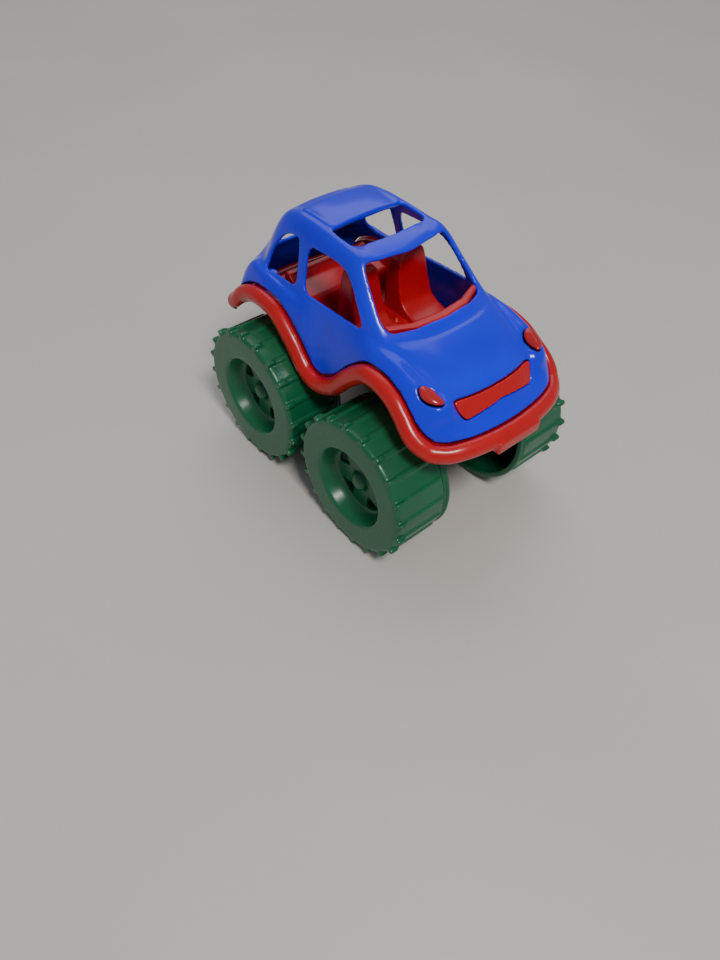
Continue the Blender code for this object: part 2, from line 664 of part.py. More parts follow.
def make_motor():
    """Friction motor: geared-up flywheel in a two-part housing on the rear axle."""
    first = math.radians(FIRST_ANGLE)
    second = math.radians(SECOND_ANGLE)
    idler = (0, AXLE_Y + GEAR_CENTRES * math.cos(first), AXLE_Z + GEAR_CENTRES * math.sin(first))
    rise = GEAR_CENTRES * math.sin(second)
    spin = (0, idler[1] + GEAR_CENTRES * math.cos(second), idler[2] + rise)
    gap_turn = math.pi + math.pi / SMALL_TEETH
    axle_gear = gear_mesh("axle_gear", BIG_TEETH, AXLE_R + GAP, *FIRST_X, first)
    add_part("axle_gear", axle_gear, GREY_PLASTIC, (0, AXLE_Y, AXLE_Z))
    bore = PIN_R + GAP
    ends = (FIRST_X[0], SECOND_X[1])
    compound = add_cutter("compound", gear_mesh("small", SMALL_TEETH, bore, *ends, first + gap_turn))
    big = gear_mesh("big", BIG_TEETH, bore, *SECOND_X, second)
    boolean(compound, add_cutter("big", big), "UNION")
    add_part("idler_gear", finished_mesh(compound, "idler_gear"), GREY_PLASTIC, idler)
    shaft = cylinder("shaft", PIN_R, (-SHAFT_HALF, 0, 0), (SHAFT_HALF, 0, 0))
    add_part("idler_shaft", smooth(shaft), STEEL_METAL, idler)
    pinion = gear_mesh("flywheel_pinion", SMALL_TEETH, bore, *SECOND_X, second + gap_turn)
    add_part("flywheel_pinion", pinion, BRASS_METAL, spin)
    add_part("flywheel_shaft", shaft, STEEL_METAL, spin)
    inner_face = (FLYWHEEL_X[0], 0, 0)
    outer_face = (FLYWHEEL_X[1], 0, 0)
    disc = add_cutter("disc", cylinder("disc", FLYWHEEL_R, inner_face, outer_face, TURN_STEPS))
    disc_bore = cylinder("disc_bore", bore, (0, 0, 0), (2 * FLYWHEEL_X[1], 0, 0))
    boolean(disc, add_cutter("disc_bore", disc_bore), "DIFFERENCE")
    add_part("flywheel", smooth(finished_mesh(disc, "flywheel")), STEEL_METAL, spin)
    make_housing(idler, spin)


def make_housing(idler, spin):
    """Two cups that close round the gears and meet at the middle of the car."""
    outer = in_mm(HOUSING_OUTER)
    inner = in_mm(HOUSING_INNER)
    for side, sign in (("left", 1), ("right", -1)):
        ends = sorted((sign * GAP / 2, sign * HOUSING_HALF))
        depth = sorted((-sign * MM, sign * (HOUSING_HALF - HOUSING_T)))
        cup_mesh = prism("cup", rounded(outer, HOUSING_CORNER), "X", *ends)
        cup = add_part(f"motor_housing_{side}", cup_mesh, GREY_PLASTIC)
        hollow = prism("cup_hollow", rounded(inner, HOLLOW_CORNER), "X", *depth)
        boolean(cup, add_cutter("cup_hollow", hollow), "DIFFERENCE")
        for place, radius in (((0, AXLE_Y, AXLE_Z), AXLE_R), (idler, PIN_R), (spin, PIN_R)):
            start = (-2 * HOUSING_HALF, place[1], place[2])
            end = (2 * HOUSING_HALF, place[1], place[2])
            bearing = cylinder("bearing", radius + GAP, start, end)
            boolean(cup, add_cutter("bearing", bearing), "DIFFERENCE")


def make_screws():
    """Four self-tapping screws that hold the shell to the tub from below."""
    head_top = FLOOR_Z - FLOOR_T - GAP
    profile = (
        (0, SCREW_LENGTH), (SCREW_R / 2, SCREW_LENGTH), (SCREW_R, SCREW_LENGTH - MM), (SCREW_R, 0),
        (SCREW_HEAD_R, 0), (SCREW_HEAD_R, -SCREW_R), (SCREW_HEAD_R / 2, -2 * SCREW_R), (0, -2 * SCREW_R),
    )
    screw = smooth(turned("screw", profile, SMALL_STEPS))
    for number, (x, y) in enumerate(SCREW_PLACES, start=1):
        add_part(f"body_screw_{number}", screw, STEEL_METAL, (x, y, head_top))


def make_seat_insert():
    """Red cabin insert: base plate, bucket seats, console, dash and rear bench in one."""
    bottom = FLOOR_Z + GAP
    top = bottom + INSERT_T
    insert = add_part("seat_insert", prism("base", in_mm(INSERT_BASE), "Z", bottom, top), RED_PLASTIC)
    for side in (-1, 1):
        ends = sorted((side * SEAT_X[0], side * SEAT_X[1]))
        seat = prism("seat", rounded(in_mm(SEAT_PROFILE), SEAT_CORNER), "X", *ends)
        boolean(insert, add_cutter("seat", seat), "UNION")
    bench_outline = rounded(in_mm(BENCH_PROFILE), SEAT_CORNER)
    bench = prism("bench", bench_outline, "X", -BENCH_HALF, BENCH_HALF)
    boolean(insert, add_cutter("bench", bench), "UNION")
    console_outline = rounded(in_mm(CONSOLE_PROFILE), SEAT_CORNER)
    console = prism("console", console_outline, "X", -CONSOLE_HALF, CONSOLE_HALF)
    boolean(insert, add_cutter("console", console), "UNION")
    dash = prism("dash", in_mm(DASH_OUTLINE), "Z", bottom, DASH_TOP)
    boolean(insert, add_cutter("dash", dash), "UNION")
    return insert


def make_front_insert():
    """Red plate behind the nose that fills the grille and lamp openings."""
    nose = [row[NOSE_MARGIN:-NOSE_MARGIN] for row in GRID[slice(*NOSE_GRID_ROWS)]]
    plate = grid_mesh("front_insert", offset_grid(nose, -SHELL_T - PLATE_GAP))
    insert = add_part("front_insert", plate, RED_PLASTIC)
    solidify(insert, INSERT_T)
    plugs = add_cutter("plugs", grid_mesh("plugs", offset_grid(nose, PLUG_PROUD)))
    solidify(plugs, SHELL_T + PLATE_GAP + INSERT_T / 2 + PLUG_PROUD)
    grille_outline = rounded(in_mm(inset(GRILLE)), GRILLE_CORNER)
    tools = [prism("grille_plug", grille_outline, "Y", *NOSE_CUT)]
    for outline in (inset(LAMP), mirrored(inset(LAMP))):
        lamp_outline = rounded(in_mm(outline), LAMP_PLUG_CORNER)
        tools.append(prism("lamp_plug", lamp_outline, "Z", *LAMP_CUT))
    boolean(plugs, add_cutter("plug_shapes", joined("plug_shapes", tools)), "INTERSECT")
    boolean(insert, add_cutter("plug", finished_mesh(plugs, "plug")), "UNION")
    for x, y in SCREW_PLACES[:2]:
        start = (x, y, FLOOR_Z)
        end = (x, y, 2 * FLOOR_Z)
        hole = cylinder("post_hole", BOSS_R + GAP, start, end, SMALL_STEPS)
        boolean(insert, add_cutter("post_hole", hole), "DIFFERENCE")
    return insert


def inset(outline):
    """Outline moved inward by the gap left round a plug."""
    corners = [Vector(point) for point in outline]
    area = sum(corners[n - 1].cross(corners[n]) for n in range(len(corners)))
    turn = math.copysign(1, area)
    result = []
    for index, corner in enumerate(corners):
        before = (corner - corners[index - 1]).normalized()
        after = (corners[(index + 1) % len(corners)] - corner).normalized()
        inward = (before + after).orthogonal().normalized() * turn
        result.append(tuple(corner + inward * PLUG_CLEAR))
    return result


reset_scene()
PARTS = new_collection("toy_beetle_car")
CUTTERS = new_collection("cutters")
BLUE_PLASTIC = make_material("blue_plastic")
RED_PLASTIC = make_material("red_plastic")
GREEN_PLASTIC = make_material("green_plastic")
GREY_PLASTIC = make_material("grey_plastic")
STEEL_METAL = make_material("steel")
BRASS_METAL = make_material("brass")
GRID = body_grid(BODY_ROWS, ACROSS_STEPS, ROW_STEPS)
make_body_shell()
make_chassis_tub()
make_seat_insert()
make_front_insert()
make_axles()
make_wheels()
make_motor()
make_screws()
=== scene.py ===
"""Looks for the toy beetle car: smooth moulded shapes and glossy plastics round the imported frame."""
import math

import bmesh
import bpy
import numpy as np
from mathutils import Matrix, Vector
from mathutils.bvhtree import BVHTree


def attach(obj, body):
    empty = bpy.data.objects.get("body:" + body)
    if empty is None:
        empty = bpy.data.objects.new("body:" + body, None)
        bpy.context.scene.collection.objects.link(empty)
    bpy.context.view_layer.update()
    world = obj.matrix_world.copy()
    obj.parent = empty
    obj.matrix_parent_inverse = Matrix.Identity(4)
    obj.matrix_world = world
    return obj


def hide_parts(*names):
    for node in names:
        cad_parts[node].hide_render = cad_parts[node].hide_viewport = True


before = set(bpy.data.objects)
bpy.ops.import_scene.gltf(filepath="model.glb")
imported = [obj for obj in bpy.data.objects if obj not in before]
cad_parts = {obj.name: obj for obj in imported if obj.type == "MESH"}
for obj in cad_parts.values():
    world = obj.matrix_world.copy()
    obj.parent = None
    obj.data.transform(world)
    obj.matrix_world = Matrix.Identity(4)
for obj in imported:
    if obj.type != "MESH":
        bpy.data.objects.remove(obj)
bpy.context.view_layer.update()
MM = 0.001

# Body surface, in millimetres: rows from the nose to the tail, each from the centre line out to
# the lower edge
BODY_ROWS = (
    ((0, -65, 66), (10, -64.4, 66), (17, -63.3, 66),
     (22, -61.9, 65.8), (26.5, -59.7, 65.2), (29.8, -57, 65.2)),
    ((0, -60.5, 69.3), (9, -60, 69.2), (17.5, -57.9, 68.8),
     (22, -58, 69.5), (27, -56.5, 69.8), (32, -53.5, 67.6)),
    ((0, -55, 75.8), (10, -54.3, 75.6), (18.7, -52.9, 75),
     (22, -54.2, 75.6), (27, -53.5, 75.6), (32.9, -50, 70.3)),
    ((0, -49, 79), (11, -48.5, 78.7), (19, -47.6, 77.8),
     (22.5, -48.3, 77.2), (27.8, -47.5, 78.3), (32.6, -45.5, 73.5)),
    ((0, -40, 82.3), (12, -40, 82), (20, -39.7, 81),
     (23.3, -39.7, 79.8), (28.4, -39.5, 80.4), (32, -39.8, 76.7)),
    ((0, -33.5, 84.4), (12.5, -33, 84.2), (21, -32, 83.4),
     (24.4, -31, 82.4), (28.3, -31, 82.2), (31.4, -31, 78.6)),
    ((0, -30.5, 85.3), (13, -28.8, 85.3), (24, -22.5, 85.6),
     (26.7, -21.5, 83.6), (29.2, -21, 81.4), (31.4, -20.8, 77.1)),
    ((0, -18.5, 95), (12, -17, 94.6), (23.8, -11.5, 93.6),
     (27.2, -12, 84.2), (29.8, -12, 77.5), (31.9, -12, 69.5)),
    ((0, -6, 103.7), (12, -4.8, 103.2), (21.8, -2.5, 101.8),
     (27.4, -3, 83.6), (30.2, -3, 72), (32.3, -4, 60)),
    ((0, 5, 105), (13, 5, 104.4), (21.3, 6, 102.4),
     (27.3, 6, 82.8), (30.2, 6, 69.8), (32.5, 5.5, 56.7)),
    ((0, 18, 105.4), (13, 18, 104.8), (21, 18, 102.5),
     (27, 18, 81.8), (29.9, 18, 75), (32.1, 17.2, 66.2)),
    ((0, 28, 105.2), (13, 28, 104.6), (20.8, 28, 102.1),
     (26.8, 28, 80.9), (29.6, 28, 77.2), (31.6, 28, 72.8)),
    ((0, 37, 103.8), (12.5, 37, 103.2), (20.3, 37, 100.6),
     (26.4, 37, 80.3), (29.2, 37, 78), (31.3, 38, 73.8)),
    ((0, 46.5, 99.4), (12, 46, 98.5), (19.5, 44.5, 96.2),
     (26, 45, 80.6), (29, 46.5, 77.5), (31, 47.5, 71.8)),
    ((0, 55.5, 88), (11.5, 54.5, 87), (18.2, 52.3, 85),
     (22.8, 52, 78.6), (27.6, 53.4, 76.3), (31.2, 55, 67.4)),
    ((0, 60.4, 79.2), (11, 59.8, 78.6), (17.5, 58.3, 76.8),
     (22.6, 58.3, 73.8), (27, 58.5, 70.4), (30.6, 58.6, 62.5)),
    ((0, 64.5, 70), (10, 64, 69.8), (17, 63, 69.2),
     (22, 62, 67.8), (26.3, 61, 65), (29.3, 60.2, 60.2)),
    ((0, 65.6, 59.6), (10, 65.1, 59.5), (16.5, 64.5, 59.3),
     (21.5, 63.9, 59.1), (25.4, 63.1, 58.9), (28.1, 62, 58.7)),
)
STEPS = 6
FINE_STEPS = 14
SHELL_T = 1.6 * MM

# Openings, in millimetres: side windows are drawn in Y and Z, the grille in X and Z, the others
# in X and Y
DOOR_WINDOW = (
    (-13.5, 84.0), (-10.7, 88.2), (-4.1, 95.6), (1.0, 98.9),
    (8.9, 99.2), (22.0, 97.6), (22.8, 93.0), (20.5, 80.8),
)
QUARTER_WINDOW = (
    (25.0, 80.3), (27.3, 93.0), (28.6, 97.8), (32.5, 97.2),
    (38.0, 95.0), (42.0, 90.0), (45.0, 83.5), (44.5, 78.8),
)
WINDSHIELD = (
    (-23.3, -18.5), (-21.6, -11.5), (-19.8, -3.8), (0, -7.4), (19.8, -3.8), (21.6, -11.5),
    (23.3, -18.5), (22.4, -23.0), (13.5, -26.8), (0, -28.2), (-13.5, -26.8), (-22.4, -23.0),
)
SUNROOF = ((-17.2, 17.6), (-17.4, 4.0), (0, 2.0), (17.4, 4.0), (17.2, 17.6), (0, 17.0))
REAR_WINDOW = (
    (-15.0, 61.2), (-16.6, 51.0), (-14.2, 43.0), (0, 42.0),
    (14.2, 43.0), (16.6, 51.0), (15.0, 61.2), (0, 62.8),
)
GRILLE = (
    (-19.5, 75.1), (-18.6, 71.4), (-16.8, 68.6), (-8.5, 70.2), (0, 71.0),
    (8.5, 70.2), (16.8, 68.6), (18.6, 71.4), (19.5, 75.1), (0, 75.7),
)
LAMP = (
    (23.6, -54.0), (22.5, -50.5), (22.7, -46.6), (24.8, -43.8),
    (28.2, -43.5), (29.7, -46.5), (28.9, -50.0), (27.0, -52.8),
)
ROOF_PANEL = ((-16.2, 36.0), (-16.6, 17.0), (16.6, 17.0), (16.2, 36.0))
PANEL_RISE = 0.8 * MM
# Corner radii of the openings, in millimetres
WINDOW_CORNER = 4
SCREEN_CORNER = 3
GRILLE_CORNER = 1.2
LAMP_CORNER = 2.5
LENS_CORNER = 2.2
PANEL_CORNER = 2.5
# Spans, in metres, between which each kind of opening goes through the surface
LEFT_SPAN = (0.015, 0.05)
RIGHT_SPAN = (-0.05, -0.015)
SCREEN_SPAN = (0.07, 0.12)
ROOF_SPAN = (0.09, 0.12)
NOSE_SPAN = (-0.08, -0.045)
LAMP_SPAN = (0.065, 0.09)

WELD = 0.005 * MM
CORNER_SHARE = 0.48


def in_mm(points):
    """Scale millimetre points to metres."""
    return [tuple(value * MM for value in point) for point in points]


def catmull(points, steps):
    """Points of a smooth curve through every given point."""
    vectors = [Vector(point) for point in points]
    padded = [vectors[0] * 2 - vectors[1], *vectors, vectors[-1] * 2 - vectors[-2]]
    curve = []
    for index in range(1, len(padded) - 2):
        a, b, c, d = padded[index - 1:index + 3]
        for step in range(steps):
            t = step / steps
            blend = b * 2 + (c - a) * t
            blend += (a * 2 - b * 5 + c * 4 - d) * t ** 2
            blend += (b * 3 - a - c * 3 + d) * t ** 3
            curve.append(blend / 2)
    curve.append(vectors[-1])
    return curve


def body_grid(rows, across_steps, row_steps):
    """Smooth grid through the half rows and their mirror image."""
    fine_rows = []
    for row in rows:
        right = [(-x, y, z) for x, y, z in reversed(row[1:])]
        fine_rows.append(catmull(in_mm(right + list(row)), across_steps))
    columns = [catmull(column, row_steps) for column in zip(*fine_rows)]
    return [list(row) for row in zip(*columns)]


def offset_grid(grid, distance):
    """Grid moved outward along its own normals."""
    moved = []
    last_row = len(grid) - 1
    last_column = len(grid[0]) - 1
    for i, row in enumerate(grid):
        line = []
        for j, point in enumerate(row):
            along = grid[min(i + 1, last_row)][j] - grid[max(i - 1, 0)][j]
            across = row[min(j + 1, last_column)] - row[max(j - 1, 0)]
            line.append(point + across.cross(along).normalized() * distance)
        moved.append(line)
    return moved


def mesh_from(name, points, faces):
    """Mesh from points and faces."""
    mesh = bpy.data.meshes.new(name)
    mesh.from_pydata([tuple(point) for point in points], [], faces)
    return mesh


def grid_mesh(name, grid):
    """Open surface mesh over a grid of points."""
    columns = len(grid[0])
    points = [point for row in grid for point in row]
    faces = []
    for i in range(len(grid) - 1):
        for j in range(columns - 1):
            corner = i * columns + j
            faces.append((corner, corner + 1, corner + columns + 1, corner + columns))
    return mesh_from(name, points, faces)


def temp(mesh):
    """Object for a mesh that is only worked on."""
    item = bpy.data.objects.new("work_" + mesh.name, mesh)
    bpy.context.scene.collection.objects.link(item)
    return item


def baked(item, name):
    """Mesh of a work object with its modifiers applied; the object goes away."""
    bpy.context.view_layer.update()
    graph = bpy.context.evaluated_depsgraph_get()
    mesh = bpy.data.meshes.new_from_object(item.evaluated_get(graph))
    mesh.name = name
    bpy.data.objects.remove(item, do_unlink=True)
    return mesh


def outward(mesh):
    """Weld a mesh and turn its faces outward."""
    work = bmesh.new()
    work.from_mesh(mesh)
    bmesh.ops.remove_doubles(work, verts=work.verts, dist=WELD)
    bmesh.ops.recalc_face_normals(work, faces=work.faces)
    work.to_mesh(mesh)
    work.free()
    return mesh


def walled(mesh, thickness, even=True):
    """Closed wall made inward from an open surface."""
    item = temp(mesh)
    wall = item.modifiers.new("wall", "SOLIDIFY")
    wall.thickness = thickness
    wall.offset = -1.0
    wall.use_even_offset = even
    return baked(item, mesh.name)


def rounded(points, radius, steps=5):
    """Closed outline with its corners replaced by curves of about this radius."""
    outline = []
    count = len(points)
    for index in range(count):
        corner = Vector(points[index])
        before = Vector(points[index - 1]) - corner
        after = Vector(points[(index + 1) % count]) - corner
        reach = min(radius, before.length * CORNER_SHARE, after.length * CORNER_SHARE)
        start = corner + before.normalized() * reach
        end = corner + after.normalized() * reach
        for step in range(steps + 1):
            t = step / steps
            outline.append(tuple(start * (1 - t) ** 2 + corner * 2 * t * (1 - t) + end * t ** 2))
    return outline


AXES = {"X": (1, 2, 0), "Y": (0, 2, 1), "Z": (0, 1, 2)}


def prism(name, outline, axis, low, high):
    """Closed mesh of a flat outline extruded along a world axis between two coordinates."""
    u_axis, v_axis, w_axis = AXES[axis]
    points = []
    for w in (low, high):
        for u, v in outline:
            point = [0.0, 0.0, 0.0]
            point[u_axis] = u
            point[v_axis] = v
            point[w_axis] = w
            points.append(point)
    count = len(outline)
    faces = [tuple(range(count)), tuple(range(count, 2 * count))]
    for index in range(count):
        nearby = (index + 1) % count
        faces.append((index, nearby, count + nearby, count + index))
    return outward(mesh_from(name, points, faces))


def turned(name, profile, steps):
    """Closed mesh turned about Z from a profile of (radius, height) points that ends on the axis."""
    points = []
    rings = []
    for radius, height in profile:
        if radius == 0:
            rings.append([len(points)] * steps)
            points.append((0, 0, height))
            continue
        ring = []
        for step in range(steps):
            angle = math.tau * step / steps
            ring.append(len(points))
            points.append((radius * math.cos(angle), radius * math.sin(angle), height))
        rings.append(ring)
    faces = []
    for upper, lower in zip(rings, rings[1:]):
        for step in range(steps):
            nearby = (step + 1) % steps
            corners = (upper[step], lower[step], lower[nearby], upper[nearby])
            faces.append(tuple(dict.fromkeys(corners)))
    return outward(mesh_from(name, points, faces))


def rod(name, radius, start, end, steps=32):
    """Closed cylinder between two points."""
    start = Vector(start)
    end = Vector(end)
    work = bmesh.new()
    bmesh.ops.create_cone(
        work, cap_ends=True, segments=steps, radius1=radius, radius2=radius, depth=(end - start).length,
    )
    aim = (end - start).to_track_quat("Z", "Y").to_matrix().to_4x4()
    bmesh.ops.transform(work, matrix=Matrix.Translation((start + end) / 2) @ aim, verts=work.verts)
    mesh = bpy.data.meshes.new(name)
    work.to_mesh(mesh)
    work.free()
    return mesh


def joined(name, meshes):
    """One mesh that holds several meshes."""
    work = bmesh.new()
    for mesh in meshes:
        work.from_mesh(mesh)
    result = bpy.data.meshes.new(name)
    work.to_mesh(result)
    work.free()
    return result


def moved(mesh, matrix):
    """Copy of a mesh moved by a matrix."""
    copy = mesh.copy()
    copy.transform(matrix)
    return copy


def cut(mesh, tools, operation="DIFFERENCE"):
    """Cut or intersect a mesh with closed tools."""
    item = temp(mesh)
    helpers = []
    for tool in tools:
        helper = temp(tool)
        modifier = item.modifiers.new("cut", "BOOLEAN")
        modifier.operation = operation
        modifier.solver = "EXACT"
        modifier.object = helper
        helpers.append(helper)
    result = baked(item, mesh.name)
    for helper in helpers:
        bpy.data.objects.remove(helper, do_unlink=True)
    return result


def within(outline, points):
    """Which flat points lie inside an outline."""
    found = np.zeros(len(points), bool)
    u, v = points[:, 0], points[:, 1]
    for (u1, v1), (u2, v2) in zip(outline, outline[1:] + outline[:1]):
        crosses = (v1 > v) != (v2 > v)
        found ^= crosses & (u < (u2 - u1) * (v - v1) / (v2 - v1 + 1e-12) + u1)
    return found


def nearest_on(outline, point):
    """Nearest point of an outline to a flat point, and how far away it is."""
    best = None
    for start, end in zip(outline, outline[1:] + outline[:1]):
        start = Vector(start)
        edge = Vector(end) - start
        share = min(1.0, max(0.0, (point - start).dot(edge) / max(edge.length_squared, 1e-15)))
        spot = start + edge * share
        distance = (point - spot).length
        if best is None or distance < best[1]:
            best = (spot, distance)
    return best


RAY_START = 0.2 * MM
RAY_REACH = 4.0 * MM
DOME_WIDTH = 2.5 * MM


def onto_surface(surface, target, axis):
    """Place on a surface straight along an axis from a target point, or else the nearest place."""
    ray = Vector((0, 0, 0))
    ray[axis] = 1.0
    options = []
    for way in (ray, -ray):
        place = surface.ray_cast(target - way * RAY_START, way, RAY_REACH)[0]
        if place is not None:
            options.append(((place - target).length, tuple(place)))
    return min(options)[1] if options else tuple(surface.find_nearest(target)[0])


def flat_place(point, axis):
    """A point's two coordinates across an axis."""
    u_axis, v_axis = AXES[axis][:2]
    return Vector((point[u_axis], point[v_axis]))


def trimmed(name, grid, shapes, keep=False, dome=0.0):
    """Open sheet with holes of the given shapes, or what lies in them; its edges follow the outlines."""
    columns = len(grid[0])
    points = np.array([tuple(point) for row in grid for point in row])
    corner = (np.arange(len(grid) - 1)[:, None] * columns + np.arange(columns - 1)[None, :]).ravel()
    faces = np.stack([corner, corner + 1, corner + columns + 1, corner + columns], 1)
    centres = points[faces].mean(1)
    owner = np.full(len(faces), -1)
    for number, (outline, axis, low, high) in enumerate(shapes):
        u_axis, v_axis, w_axis = AXES[axis]
        depth = centres[:, w_axis]
        chosen = within(outline, centres[:, [u_axis, v_axis]]) & (depth > low) & (depth < high)
        owner[chosen] = number
    hit = owner >= 0
    cut_vertices = {}
    for face in np.nonzero(hit)[0]:
        for vertex in faces[face]:
            cut_vertices[int(vertex)] = int(owner[face])
    kept_vertices = set(faces[~hit].ravel().tolist())
    surface = BVHTree.FromPolygons(points.tolist(), faces.tolist())
    for vertex in sorted(cut_vertices.keys() & kept_vertices):
        outline, axis = shapes[cut_vertices[vertex]][:2]
        u_axis, v_axis, w_axis = AXES[axis]
        target = Vector(points[vertex])
        target[u_axis], target[v_axis] = nearest_on(outline, flat_place(points[vertex], axis))[0]
        points[vertex] = onto_surface(surface, target, w_axis)
    chosen_faces = faces[hit] if keep else faces[~hit]
    if dome:
        raised = points.copy()
        for vertex in sorted(set(chosen_faces.ravel().tolist())):
            outline, axis = shapes[cut_vertices[vertex]][:2]
            edge = nearest_on(outline, flat_place(points[vertex], axis))[1]
            rise = dome * math.sqrt(1 - (1 - min(edge / DOME_WIDTH, 1)) ** 2)
            raised[vertex] += np.array(surface.find_nearest(Vector(points[vertex]))[1]) * rise
        points = raised
    used = sorted(set(chosen_faces.ravel().tolist()))
    renumber = {vertex: place for place, vertex in enumerate(used)}
    loops = [tuple(renumber[vertex] for vertex in face) for face in chosen_faces.tolist()]
    return mesh_from(name, points[used].tolist(), loops)


def moulded(name, meshes, voxel, rounds, keep=1.0):
    """One skin over several closed meshes, with every edge softened as a moulding's is."""
    item = temp(joined(name, meshes))
    skin = item.modifiers.new("skin", "REMESH")
    skin.mode = "VOXEL"
    skin.voxel_size = voxel
    soften = item.modifiers.new("soften", "SMOOTH")
    soften.factor = 0.5
    soften.iterations = rounds
    if keep < 1.0:
        thin = item.modifiers.new("thin", "DECIMATE")
        thin.ratio = keep
    mesh = baked(item, name)
    mesh.shade_smooth()
    return mesh


def thinned(mesh, ratio):
    """Mesh with fewer faces and the same shape."""
    item = temp(mesh)
    thin = item.modifiers.new("thin", "DECIMATE")
    thin.ratio = ratio
    result = baked(item, mesh.name)
    result.shade_smooth()
    return result


def mirrored(outline):
    """Outline reflected across the middle of the car."""
    return tuple((-x, y) for x, y in reversed(outline))


def node_link(tree, source, target):
    """Join two sockets."""
    tree.links.new(source, target)


def add_node(tree, kind, **values):
    """Add a shader node and set its named inputs."""
    node = tree.nodes.new(kind)
    for key, value in values.items():
        node.inputs[key.replace("_", " ")].default_value = value
    return node


PLASTIC_IOR = 1.49
COAT_ROUGHNESS = 0.08
TINT_SHIFT = 0.12
DUST_COLOUR = (0.18, 0.17, 0.13, 1)
GRAIN_DEPTH = 0.03 * MM
WAVE_DEPTH = 0.2 * MM
SCUFF_DEPTH = 0.004 * MM
LINE_DEPTH = 0.03 * MM


def plastic(name, colour, roughness, grain, coat=0.0, dirt=0.0):
    """Moulded plastic: faint flow marks, uneven gloss, a painted highlight on sharp edges, fine surface
    grain and handling scuffs.
    """
    material = bpy.data.materials.new(name)
    material.use_nodes = True
    tree = material.node_tree
    shader = tree.nodes["Principled BSDF"]
    shader.inputs["IOR"].default_value = PLASTIC_IOR
    shader.inputs["Coat Weight"].default_value = coat
    shader.inputs["Coat Roughness"].default_value = COAT_ROUGHNESS
    place = tree.nodes.new("ShaderNodeTexCoord")
    flow = add_node(tree, "ShaderNodeTexNoise", Scale=22.0, Detail=3.0, Roughness=0.5, Distortion=1.2)
    node_link(tree, place.outputs["Object"], flow.inputs["Vector"])
    tint = tree.nodes.new("ShaderNodeValToRGB")
    dark = tuple(channel * (1 - TINT_SHIFT) for channel in colour)
    light = tuple(channel * (1 + TINT_SHIFT) for channel in colour)
    tint.color_ramp.elements[0].position = 0.3
    tint.color_ramp.elements[0].color = (*dark, 1)
    tint.color_ramp.elements[1].position = 0.7
    tint.color_ramp.elements[1].color = (*light, 1)
    node_link(tree, flow.outputs["Fac"], tint.inputs["Fac"])
    # Painted highlight: sharp convex edges, found by pointiness, are mixed towards a paler copy of the
    # colour.
    edges = tree.nodes.new("ShaderNodeNewGeometry")
    painted_edge_highlight = add_node(tree, "ShaderNodeMapRange", From_Min=0.52, From_Max=0.62, To_Min=0.0, To_Max=0.16)
    node_link(tree, edges.outputs["Pointiness"], painted_edge_highlight.inputs["Value"])
    pale = tree.nodes.new("ShaderNodeMix")
    pale.data_type = "RGBA"
    node_link(tree, painted_edge_highlight.outputs["Result"], pale.inputs[0])
    node_link(tree, tint.outputs["Color"], pale.inputs[6])
    pale.inputs[7].default_value = (*(min(1.0, channel * 1.5 + 0.03) for channel in colour), 1)
    last = pale.outputs[2]
    if dirt > 0:
        low = add_node(tree, "ShaderNodeTexNoise", Scale=55.0, Detail=6.0, Roughness=0.65)
        node_link(tree, place.outputs["Object"], low.inputs["Vector"])
        dusty = add_node(tree, "ShaderNodeMapRange", From_Min=0.5, From_Max=0.8, To_Min=0.0, To_Max=dirt)
        node_link(tree, low.outputs["Fac"], dusty.inputs["Value"])
        dust = tree.nodes.new("ShaderNodeMix")
        dust.data_type = "RGBA"
        node_link(tree, dusty.outputs["Result"], dust.inputs[0])
        node_link(tree, last, dust.inputs[6])
        dust.inputs[7].default_value = DUST_COLOUR
        last = dust.outputs[2]
    node_link(tree, last, shader.inputs["Base Color"])
    gloss = add_node(tree, "ShaderNodeTexNoise", Scale=48.0, Detail=5.0, Roughness=0.6)
    node_link(tree, place.outputs["Object"], gloss.inputs["Vector"])
    uneven = add_node(
        tree, "ShaderNodeMapRange", From_Min=0.3, From_Max=0.75,
        To_Min=roughness * 0.8, To_Max=roughness * 1.35,
    )
    node_link(tree, gloss.outputs["Fac"], uneven.inputs["Value"])
    node_link(tree, uneven.outputs["Result"], shader.inputs["Roughness"])
    fine = add_node(tree, "ShaderNodeTexNoise", Scale=grain, Detail=2.0, Roughness=0.5)
    node_link(tree, place.outputs["Object"], fine.inputs["Vector"])
    waves = add_node(tree, "ShaderNodeTexNoise", Scale=95.0, Detail=1.0, Roughness=0.4)
    node_link(tree, place.outputs["Object"], waves.inputs["Vector"])
    scuff = add_node(tree, "ShaderNodeTexVoronoi", Scale=260.0)
    scuff.feature = "DISTANCE_TO_EDGE"
    node_link(tree, place.outputs["Object"], scuff.inputs["Vector"])
    thin = add_node(tree, "ShaderNodeMapRange", From_Min=0.0, From_Max=0.03, To_Min=0.0, To_Max=1.0)
    node_link(tree, scuff.outputs["Distance"], thin.inputs["Value"])
    height = None
    for source, distance in (
        (fine.outputs["Fac"], GRAIN_DEPTH),
        (waves.outputs["Fac"], WAVE_DEPTH),
        (thin.outputs["Result"], SCUFF_DEPTH),
    ):
        bump = add_node(tree, "ShaderNodeBump", Strength=0.6, Distance=distance)
        node_link(tree, source, bump.inputs["Height"])
        if height is not None:
            node_link(tree, height, bump.inputs["Normal"])
        height = bump.outputs["Normal"]
    node_link(tree, height, shader.inputs["Normal"])
    return material


